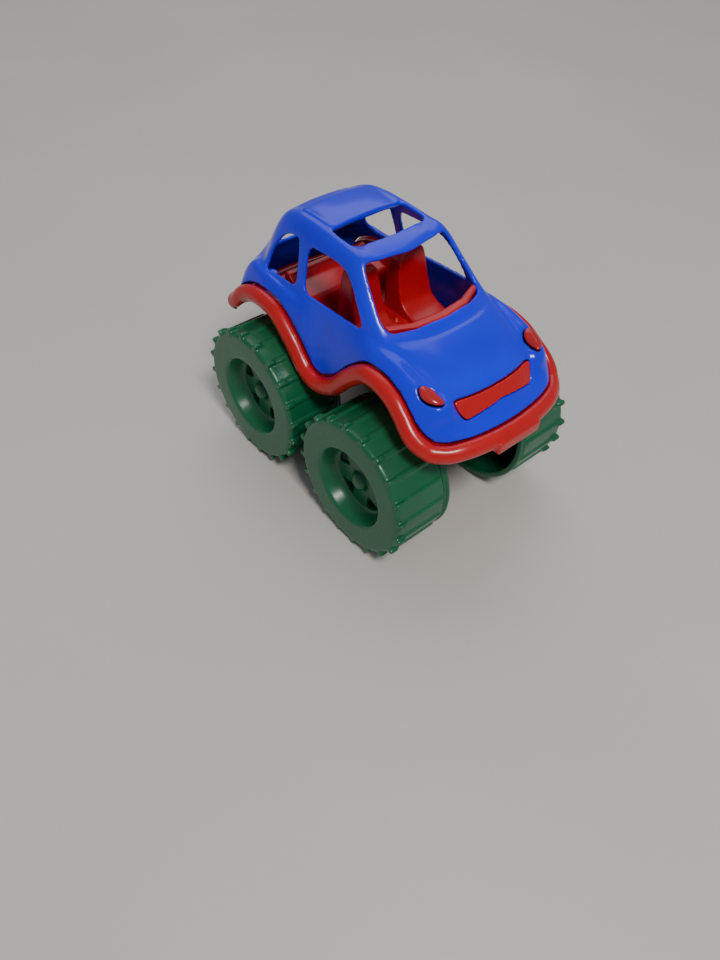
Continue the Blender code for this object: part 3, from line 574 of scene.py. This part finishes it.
def metal(name, colour, roughness, stretch):
    """Drawn or turned metal with fine lines."""
    material = bpy.data.materials.new(name)
    material.use_nodes = True
    tree = material.node_tree
    shader = tree.nodes["Principled BSDF"]
    shader.inputs["Metallic"].default_value = 1.0
    place = tree.nodes.new("ShaderNodeTexCoord")
    squeeze = tree.nodes.new("ShaderNodeMapping")
    squeeze.inputs["Scale"].default_value = stretch
    node_link(tree, place.outputs["Object"], squeeze.inputs["Vector"])
    lines = add_node(tree, "ShaderNodeTexNoise", Scale=300.0, Detail=4.0)
    node_link(tree, squeeze.outputs["Vector"], lines.inputs["Vector"])
    tint = tree.nodes.new("ShaderNodeValToRGB")
    tint.color_ramp.elements[0].color = (*(channel * 0.8 for channel in colour), 1)
    tint.color_ramp.elements[1].color = (*(min(1, channel * 1.15) for channel in colour), 1)
    node_link(tree, lines.outputs["Fac"], tint.inputs["Fac"])
    node_link(tree, tint.outputs["Color"], shader.inputs["Base Color"])
    uneven = add_node(tree, "ShaderNodeMapRange", To_Min=roughness * 0.7, To_Max=roughness * 1.4)
    node_link(tree, lines.outputs["Fac"], uneven.inputs["Value"])
    node_link(tree, uneven.outputs["Result"], shader.inputs["Roughness"])
    bump = add_node(tree, "ShaderNodeBump", Strength=0.5, Distance=LINE_DEPTH)
    node_link(tree, lines.outputs["Fac"], bump.inputs["Height"])
    node_link(tree, bump.outputs["Normal"], shader.inputs["Normal"])
    return material


BLUE = plastic("shell_blue", (0.0, 0.006, 0.84), 0.2, 900.0, coat=0.1)
RED = plastic("tub_red", (0.52, 0.006, 0.008), 0.24, 900.0, coat=0.08)
SEAT_RED = plastic("seat_red", (0.48, 0.006, 0.008), 0.3, 1100.0, coat=0.04)
LENS_RED = plastic("lens_red", (0.42, 0.012, 0.016), 0.14, 700.0, coat=0.3)
GREEN = plastic("wheel_green", (0.003, 0.115, 0.045), 0.28, 800.0, coat=0.05, dirt=0.05)
GREY = plastic("gear_grey", (0.3, 0.31, 0.32), 0.42, 1300.0)
STEEL = metal("drawn_steel", (0.62, 0.62, 0.63), 0.3, (0.04, 1.0, 1.0))
BRASS = metal("turned_brass", (0.62, 0.43, 0.15), 0.32, (1.0, 1.0, 0.2))


def piece(name, mesh, material, body, node, place=(0, 0, 0), turn=(0, 0, 0)):
    """Add a finished piece that rides on a body and stands for a CAD node."""
    item = bpy.data.objects.new(name, mesh)
    bpy.context.scene.collection.objects.link(item)
    item.location = place
    item.rotation_euler = turn
    mesh.materials.clear()
    mesh.materials.append(material)
    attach(item, body)
    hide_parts(node)


GRID = body_grid(BODY_ROWS, STEPS, STEPS)
FINE_GRID = body_grid(BODY_ROWS, FINE_STEPS, FINE_STEPS)


def shape(outline, radius, axis, low, high):
    """Rounded outline in metres with the axis and the span that it is cut along."""
    return (rounded(in_mm(outline), radius * MM), axis, low, high)


SHELL_HOLES = [
    shape(DOOR_WINDOW, WINDOW_CORNER, "X", *LEFT_SPAN),
    shape(DOOR_WINDOW, WINDOW_CORNER, "X", *RIGHT_SPAN),
    shape(QUARTER_WINDOW, WINDOW_CORNER, "X", *LEFT_SPAN),
    shape(QUARTER_WINDOW, WINDOW_CORNER, "X", *RIGHT_SPAN),
    shape(WINDSHIELD, SCREEN_CORNER, "Z", *SCREEN_SPAN),
    shape(SUNROOF, SCREEN_CORNER, "Z", *ROOF_SPAN),
    shape(REAR_WINDOW, WINDOW_CORNER, "Z", *SCREEN_SPAN),
    shape(GRILLE, GRILLE_CORNER, "Y", *NOSE_SPAN),
    shape(LAMP, LAMP_CORNER, "Z", *LAMP_SPAN),
    shape(mirrored(LAMP), LAMP_CORNER, "Z", *LAMP_SPAN),
]

# Screw places, in millimetres, and the posts that take the screws
SCREW_PLACES = ((-12.0, -46.0), (12.0, -46.0), (-20.5, 49.8), (20.5, 49.8))
POST_R = 2.8 * MM
POST_BOTTOM = 63.3 * MM
POST_BLANK = 10.0 * MM
POST_BITE = 0.7
REAR_POST_TOP = 71.4 * MM


def sheet_data(grid):
    """Points and faces of a grid."""
    mesh = grid_mesh("data", grid)
    points = [vertex.co.copy() for vertex in mesh.vertices]
    return points, [tuple(face.vertices) for face in mesh.polygons]


def screw_posts():
    """Posts under the shell that take the screws."""
    skin = BVHTree.FromPolygons(*sheet_data(GRID))
    posts = []
    for x, y in in_mm(SCREW_PLACES):
        post = rod("post", POST_R, (x, y, POST_BOTTOM), (x, y, POST_BOTTOM + POST_BLANK))
        for vertex in post.vertices:
            if vertex.co.z > POST_BOTTOM + MM:
                top = skin.ray_cast(vertex.co, Vector((0, 0, 1)))[0].z - SHELL_T * POST_BITE
                vertex.co.z = min(top, REAR_POST_TOP) if y > 0 else top
        posts.append(post)
    return posts


def make_shell():
    """Blue body with softened openings and the raised rear roof panel."""
    shell = walled(trimmed("shell", FINE_GRID, SHELL_HOLES), SHELL_T, even=False)
    panel_shape = [shape(ROOF_PANEL, PANEL_CORNER, "Z", *ROOF_SPAN)]
    raised = offset_grid(FINE_GRID, PANEL_RISE)
    panel = walled(trimmed("panel", raised, panel_shape, keep=True), 2 * PANEL_RISE, even=False)
    mesh = moulded("body_skin", [shell, panel, *screw_posts()], voxel=0.45 * MM, rounds=6, keep=0.3)
    piece("body_moulding", mesh, BLUE, "car", "body_shell")


# Tub: outlines and bare lengths in millimetres
FLOOR_TOP = 63.0
FLOOR_T = 1.6 * MM
RIM_DROP = 2.5
TUB_Y = (-59, -54, -48, -40, -32, -22, -12, -4, 6, 18, 28, 37, 45, 49, 53.5, 56.5)
TUB_FLAT_X = (0, 9, 17, 24.5)
LIP_WIDTH = 2.7
FLOOR_STEPS = 3
BAND_SECTION = (
    (-1.1, 2.3), (0.5, 0.6), (1.8, 0.5), (3.1, 1.1), (4.1, 2.2), (4.65, 3.6), (4.6, 5.1),
    (3.8, 6.6), (2.6, 7.6), (1.5, 7.7), (1.7, 6.4), (2.4, 4.7), (1.9, 3.9), (0.8, 3.6), (-1.1, 3.8),
)
FRONT_BULGE = 1.05
BUMPER_BLOCK = ((-10.6, -70.3), (10.6, -70.3), (10.6, -64.0), (-10.6, -64.0))
BUMPER_BLOCK_Z = (57.6 * MM, 62.6 * MM)
FRONT_CARRIER = ((-40.0, 62.2), (-40.0, 25.0), (-24.0, 25.0), (-24.0, 62.2))
FRONT_HOLLOW = ((-38.0, 60.2), (-38.0, 10.0), (-26.0, 10.0), (-26.0, 60.2))
REAR_CARRIER = ((15.6, 62.2), (15.6, 28.0), (23.5, 19.0), (46.0, 19.0), (46.0, 62.2))
REAR_HOLLOW = ((17.6, 60.2), (17.6, 28.8), (26.2, 19.0), (26.2, 10.0), (44.0, 10.0), (44.0, 60.2))
CARRIER_HALF = 16.0 * MM
CARRIER_T = 2.0 * MM
AXLE_Y = 32.0 * MM
AXLE_Z = 30.0 * MM
AXLE_HOLE_R = 2.1 * MM
SCREW_HOLE_R = 1.4 * MM
SCREW_HOLE_Z = (55.0 * MM, 70.0 * MM)


def lowered(row, drop):
    """Row of millimetre points lowered by a distance."""
    return tuple((x, y, z - drop) for x, y, z in row)


def tub_rows():
    """Rows of the tub floor: flat in the middle, then up or down to a lip under the shell's edge."""
    rows = [lowered(BODY_ROWS[0], RIM_DROP)]
    for row, middle_y in zip(BODY_ROWS[1:-1], TUB_Y):
        edge_x, edge_y, edge_z = row[-1]
        flat = tuple((x, middle_y, FLOOR_TOP) for x in TUB_FLAT_X)
        lip = (edge_x - LIP_WIDTH, edge_y, edge_z - RIM_DROP)
        rows.append((*flat, lip, (edge_x, edge_y, edge_z - RIM_DROP)))
    rows.append(lowered(BODY_ROWS[-1], RIM_DROP))
    return rows


def band_mesh(grid):
    """Half-round moulding with a hollow back that follows the lower edge of the body."""
    front = grid[0][:-1]
    left_side = [row[-1] for row in grid[:-1]]
    back = list(reversed(grid[-1]))[:-1]
    right_side = [row[0] for row in reversed(grid)][:-1]
    loop = front + left_side + back + right_side
    count = len(loop)
    size = len(BAND_SECTION)
    points = []
    faces = []
    for index, point in enumerate(loop):
        tangent = (loop[(index + 1) % count] - loop[index - 1]).normalized()
        out_way = tangent.cross(Vector((0, 0, 1))).normalized()
        down = tangent.cross(out_way).normalized()
        bulge = 1 + max(0.0, -out_way.y) ** 2 * (FRONT_BULGE - 1)
        for out, fall in BAND_SECTION:
            points.append(point + out_way * out * MM * bulge + down * fall * MM)
        here = index * size
        there = (index + 1) % count * size
        for side in range(size):
            nearby = (side + 1) % size
            faces.append((here + side, here + nearby, there + nearby, there + side))
    return outward(mesh_from("band", points, faces))


def make_tub():
    """Red tub: wave moulding, bumper block, floor and the two carriers."""
    floor = grid_mesh("floor", body_grid(tub_rows(), FLOOR_STEPS, STEPS))
    parts = [band_mesh(GRID), walled(floor, FLOOR_T)]
    inside = CARRIER_HALF - CARRIER_T
    for outline, hollow in ((FRONT_CARRIER, FRONT_HOLLOW), (REAR_CARRIER, REAR_HOLLOW)):
        box = prism("carrier", in_mm(outline), "X", -CARRIER_HALF, CARRIER_HALF)
        parts.append(cut(box, [prism("hollow", in_mm(hollow), "X", -inside, inside)]))
    parts.append(prism("block", in_mm(BUMPER_BLOCK), "Z", *BUMPER_BLOCK_Z))
    mesh = moulded("tub_skin", parts, voxel=0.5 * MM, rounds=4)
    holes = []
    reach = 2 * CARRIER_HALF
    for y in (-AXLE_Y, AXLE_Y):
        holes.append(rod("hole", AXLE_HOLE_R, (-reach, y, AXLE_Z), (reach, y, AXLE_Z)))
    low, high = SCREW_HOLE_Z
    for x, y in in_mm(SCREW_PLACES):
        holes.append(rod("hole", SCREW_HOLE_R, (x, y, low), (x, y, high)))
    mesh = cut(mesh, holes)
    mesh.shade_smooth()
    piece("tub_moulding", thinned(mesh, ratio=0.4), RED, "car", "chassis_tub")


# Cabin insert: outlines and bare lengths in millimetres
INSERT_BASE = ((-20, -25), (20, -25), (20, 42), (-20, 42))
INSERT_BASE_Z = (63.3 * MM, 64.5 * MM)
SEAT_X = (3.2, 20.5)
SEAT_PROFILE = (
    (-13, 63.8), (-13, 71.6), (-6.5, 72.0), (-1.6, 74.6),
    (1.0, 81.0), (4.0, 94.5), (9.0, 94.5), (8.0, 63.8),
)
SEAT_CORNER = 2.4 * MM
SHOULDER_CORNER = 4.5 * MM
SEAT_DEPTH = 20.0 * MM
SEAT_FOOT = 63.6 * MM
SEAT_WAIST = 80.0 * MM
SEAT_TOP = 94.5 * MM
WAIST_INSET = 0.8 * MM
SHOULDER_INSET = 2.6 * MM
BENCH_HALF = 20.0 * MM
BENCH_CORNER = 2.0 * MM
CONSOLE_CORNER = 1.5 * MM
CONSOLE_HALF = 3.2 * MM
BENCH_PROFILE = ((24, 63.8), (24, 72.0), (36, 73.2), (38.5, 76.0), (41.5, 76.0), (41.5, 63.8))
CONSOLE_PROFILE = ((-18.5, 63.8), (-18.5, 69.0), (-4.0, 70.0), (12.0, 69.0), (12.0, 63.8))
CONSOLE_KNOBS = ((0.8, -2.6), (-1.9, -5.2))
KNOB_R = 1.1 * MM
KNOB_Z = (68.0 * MM, 71.1 * MM)
DASH_Z = (63.4 * MM, 87.0 * MM)
DASH_OUTLINE = (
    (-22.2, -21.4), (-12.0, -26.4), (0, -27.7), (12.0, -26.4), (22.2, -21.4),
    (22.2, -18.8), (12.0, -22.9), (0, -24.1), (-12.0, -22.9), (-22.2, -18.8),
)


def seat_mesh(low, high):
    """Bucket seat whose back narrows towards rounded shoulders."""
    seat = prism("seat", rounded(in_mm(SEAT_PROFILE), SEAT_CORNER), "X", low, high)
    front = (
        (low, SEAT_FOOT), (high, SEAT_FOOT),
        (high - WAIST_INSET, SEAT_WAIST), (high - SHOULDER_INSET, SEAT_TOP),
        (low + SHOULDER_INSET, SEAT_TOP), (low + WAIST_INSET, SEAT_WAIST),
    )
    around = prism("front_shape", rounded(front, SHOULDER_CORNER), "Y", -SEAT_DEPTH, SEAT_DEPTH)
    return cut(seat, [around], "INTERSECT")


def make_cabin():
    """Red cabin insert with seats, console, bench and dash."""
    parts = [prism("base", in_mm(INSERT_BASE), "Z", *INSERT_BASE_Z)]
    for side in (-1, 1):
        low, high = sorted((side * SEAT_X[0] * MM, side * SEAT_X[1] * MM))
        parts.append(seat_mesh(low, high))
    bench = rounded(in_mm(BENCH_PROFILE), BENCH_CORNER)
    parts.append(prism("bench", bench, "X", -BENCH_HALF, BENCH_HALF))
    console = rounded(in_mm(CONSOLE_PROFILE), CONSOLE_CORNER)
    parts.append(prism("console", console, "X", -CONSOLE_HALF, CONSOLE_HALF))
    low, high = KNOB_Z
    for x, y in in_mm(CONSOLE_KNOBS):
        parts.append(rod("knob", KNOB_R, (x, y, low), (x, y, high)))
    parts.append(prism("dash", in_mm(DASH_OUTLINE), "Z", *DASH_Z))
    mesh = moulded("cabin_skin", parts, voxel=0.4 * MM, rounds=9, keep=0.4)
    piece("cabin_moulding", mesh, SEAT_RED, "car", "seat_insert")


# Nose insert: the plate takes these rows of the body grid and leaves these columns off each side
PLATE_GAP = 1.2 * MM
INSERT_T = 1.2 * MM
PLATE_ROWS = (STEPS + 3, 4 * STEPS - 2)
PLATE_SIDE = 2 * STEPS
PLUG_CLEAR = 0.35
PLUG_PROUD = 0.25 * MM
LENS_DOME = 0.7 * MM


def inset_outline(outline, clear):
    """Outline moved inward by a distance."""
    corners = [Vector(point) for point in outline]
    area = sum(corners[n - 1].cross(corners[n]) for n in range(len(corners)))
    turn = math.copysign(1, area)
    result = []
    for index, corner in enumerate(corners):
        before = (corner - corners[index - 1]).normalized()
        after = (corners[(index + 1) % len(corners)] - corner).normalized()
        inward = (before + after).orthogonal().normalized() * turn
        result.append(tuple(corner + inward * clear))
    return result


def make_nose():
    """Red plate behind the nose with the lamps and the grille standing through the shell."""
    inside = offset_grid(GRID, -SHELL_T - PLATE_GAP)
    nose = [row[PLATE_SIDE:-PLATE_SIDE] for row in inside[PLATE_ROWS[0]:PLATE_ROWS[1]]]
    plate = walled(grid_mesh("plate", nose), INSERT_T, even=False)
    proud = offset_grid(FINE_GRID, PLUG_PROUD)
    depth = SHELL_T + PLATE_GAP + INSERT_T / 2
    grille = shape(inset_outline(GRILLE, PLUG_CLEAR), GRILLE_CORNER, "Y", *NOSE_SPAN)
    plug = walled(trimmed("grille", proud, [grille], keep=True), depth, even=False)
    mesh = moulded("nose_skin", [plate, plug], voxel=0.35 * MM, rounds=4, keep=0.4)
    piece("grille_plate", mesh, RED, "car", "front_insert")
    for side, outline in (("left", LAMP), ("right", mirrored(LAMP))):
        lamp = shape(inset_outline(outline, PLUG_CLEAR), LENS_CORNER, "Z", *LAMP_SPAN)
        lens = walled(trimmed("lamp", proud, [lamp], keep=True, dome=LENS_DOME), depth, even=False)
        mesh = moulded("lamp_skin", [lens], voxel=0.22 * MM, rounds=5, keep=0.5)
        piece("lamp_" + side, mesh, LENS_RED, "car", "front_insert")


# Wheel, in millimetres: radius and height above the wheel's middle
WHEEL_PROFILE = (
    (0, 9.2), (1.5, 9.05), (2.6, 8.7), (3.5, 7.9), (4.0, 6.8), (4.3, 6.0), (13.4, 6.0), (14.4, 6.5),
    (15.2, 8.0), (16.8, 12.2), (17.2, 12.8), (18.0, 13.0), (26.8, 13.0), (27.8, 12.6), (28.3, 11.6),
    (28.4, -10.0), (27.6, -10.6), (27.6, -11.6), (28.8, -12.0), (28.8, -13.0), (26.4, -13.0),
    (26.4, 11.2), (18.6, 11.2), (15.6, 5.2), (13.6, 4.2), (5.0, 4.2), (5.0, -13.0),
    (1.8, -13.0), (1.8, 6.4), (0, 6.4),
)
WHEEL_STEPS = 120
BAR_OUTLINE = ((27.4, -9.4), (29.1, -9.4), (29.1, 8.8), (30.0, 9.8), (30.0, 12.9), (27.0, 12.9))
BAR_WIDTH = 1.9 * MM
BAR_COUNT = 20
HUB_HOLE = ((7.4, 0), (12.8, -4.2), (13.3, 0), (12.8, 4.2))
HUB_HOLES = 5
HUB_HOLE_CORNER = 1.5 * MM
HUB_HOLE_TOP = 10.0 * MM
BAR_CORNER = 0.5 * MM
WHEEL_X = 32.9 * MM


def make_wheels():
    """Four one-piece wheels that share a mesh."""
    holes = []
    hole = prism("hole", rounded(in_mm(HUB_HOLE), HUB_HOLE_CORNER), "Z", 0, HUB_HOLE_TOP)
    for index in range(HUB_HOLES):
        holes.append(moved(hole, Matrix.Rotation(math.tau * index / HUB_HOLES, 4, "Z")))
    parts = [cut(turned("wheel", in_mm(WHEEL_PROFILE), WHEEL_STEPS), holes)]
    bar = prism("bar", rounded(in_mm(BAR_OUTLINE), BAR_CORNER, 3), "Y", -BAR_WIDTH / 2, BAR_WIDTH / 2)
    for index in range(BAR_COUNT):
        parts.append(moved(bar, Matrix.Rotation(math.tau * (index + 0.5) / BAR_COUNT, 4, "Z")))
    mesh = moulded("wheel_skin", parts, voxel=0.4 * MM, rounds=4, keep=0.42)
    for end, y in (("front", -AXLE_Y), ("rear", AXLE_Y)):
        for side, sign in (("left", 1), ("right", -1)):
            name = f"{end}_{side}"
            piece(
                "tyre_" + name, mesh, GREEN, end + "_wheelset", "wheel_" + name,
                place=(sign * WHEEL_X, y, AXLE_Z), turn=(0, sign * math.pi / 2, 0),
            )


NODE_MATERIALS = {
    "axle_front": STEEL, "axle_rear": STEEL, "idler_shaft": STEEL, "flywheel_shaft": STEEL,
    "flywheel": STEEL, "flywheel_pinion": BRASS, "axle_gear": GREY, "idler_gear": GREY,
    "motor_housing_left": GREY, "motor_housing_right": GREY,
    **{f"body_screw_{number}": STEEL for number in range(1, len(SCREW_PLACES) + 1)},
}


def finish_nodes():
    """Give the CAD pieces that stay visible their finish."""
    for name, material in NODE_MATERIALS.items():
        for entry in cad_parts[name].material_slots:
            entry.material = material


TABLE = 3


def make_floor():
    """Plain pale table with a faint grain."""
    material = bpy.data.materials.new("table_top")
    material.use_nodes = True
    tree = material.node_tree
    shader = tree.nodes["Principled BSDF"]
    place = tree.nodes.new("ShaderNodeTexCoord")
    noise = add_node(tree, "ShaderNodeTexNoise", Scale=6.0, Detail=6.0)
    node_link(tree, place.outputs["Object"], noise.inputs["Vector"])
    tint = tree.nodes.new("ShaderNodeValToRGB")
    tint.color_ramp.elements[0].color = (0.56, 0.53, 0.49, 1)
    tint.color_ramp.elements[1].color = (0.66, 0.63, 0.58, 1)
    node_link(tree, noise.outputs["Fac"], tint.inputs["Fac"])
    node_link(tree, tint.outputs["Color"], shader.inputs["Base Color"])
    shader.inputs["Roughness"].default_value = 0.5
    corners = [(-TABLE, -TABLE, 0), (TABLE, -TABLE, 0), (TABLE, TABLE, 0), (-TABLE, TABLE, 0)]
    mesh = mesh_from("table", corners, [(0, 1, 2, 3)])
    mesh.materials.append(material)
    floor = bpy.data.objects.new("table", mesh)
    bpy.context.scene.collection.objects.link(floor)


def area_light(name, place, target, size, watts, colour):
    """Soft rectangular light aimed at a point."""
    data = bpy.data.lights.new(name, "AREA")
    data.shape = "RECTANGLE"
    data.size, data.size_y = size
    data.energy = watts
    data.color = colour
    light = bpy.data.objects.new(name, data)
    bpy.context.scene.collection.objects.link(light)
    aim = Vector(place) - Vector(target)
    light.rotation_euler = aim.to_track_quat("Z", "Y").to_euler()
    light.location = place


def make_lights():
    """Soft studio light from above with a weaker fill."""
    middle = (0, 0, 0.06)
    area_light(
        "key", (-0.25, -0.62, 1.05), middle, size=(0.24, 0.24), watts=9.0, colour=(1.0, 0.98, 0.95),
    )
    area_light(
        "fill", (0.5, 0.7, 1.1), middle, size=(1.2, 1.2), watts=5.0, colour=(0.96, 0.98, 1.0),
    )
    world = bpy.data.worlds.new("room")
    bpy.context.scene.world = world
    world.use_nodes = True
    background = world.node_tree.nodes["Background"]
    background.inputs["Color"].default_value = (0.9, 0.93, 1.0, 1)
    background.inputs["Strength"].default_value = 0.3


CAMERA_PLACE = (-0.17468, -0.17213, 0.24852)
CAMERA_RIGHT = (0.7615, -0.6458, 0.0566)
CAMERA_UP = (0.4546, 0.5942, 0.6636)
CAMERA_BACK = (-0.4622, -0.4796, 0.7460)
CAMERA_LENS = 28.68


def make_camera():
    """Camera at the right front corner, looking down at the car."""
    data = bpy.data.cameras.new("camera")
    data.sensor_width = 36.0
    data.lens = CAMERA_LENS
    data.clip_start = 0.01
    camera = bpy.data.objects.new("camera", data)
    bpy.context.scene.collection.objects.link(camera)
    turn = Matrix((CAMERA_RIGHT, CAMERA_UP, CAMERA_BACK)).transposed().to_4x4()
    camera.matrix_world = Matrix.Translation(CAMERA_PLACE) @ turn
    bpy.context.scene.camera = camera


make_shell()
make_tub()
make_cabin()
make_nose()
make_wheels()
finish_nodes()
make_floor()
make_lights()
make_camera()
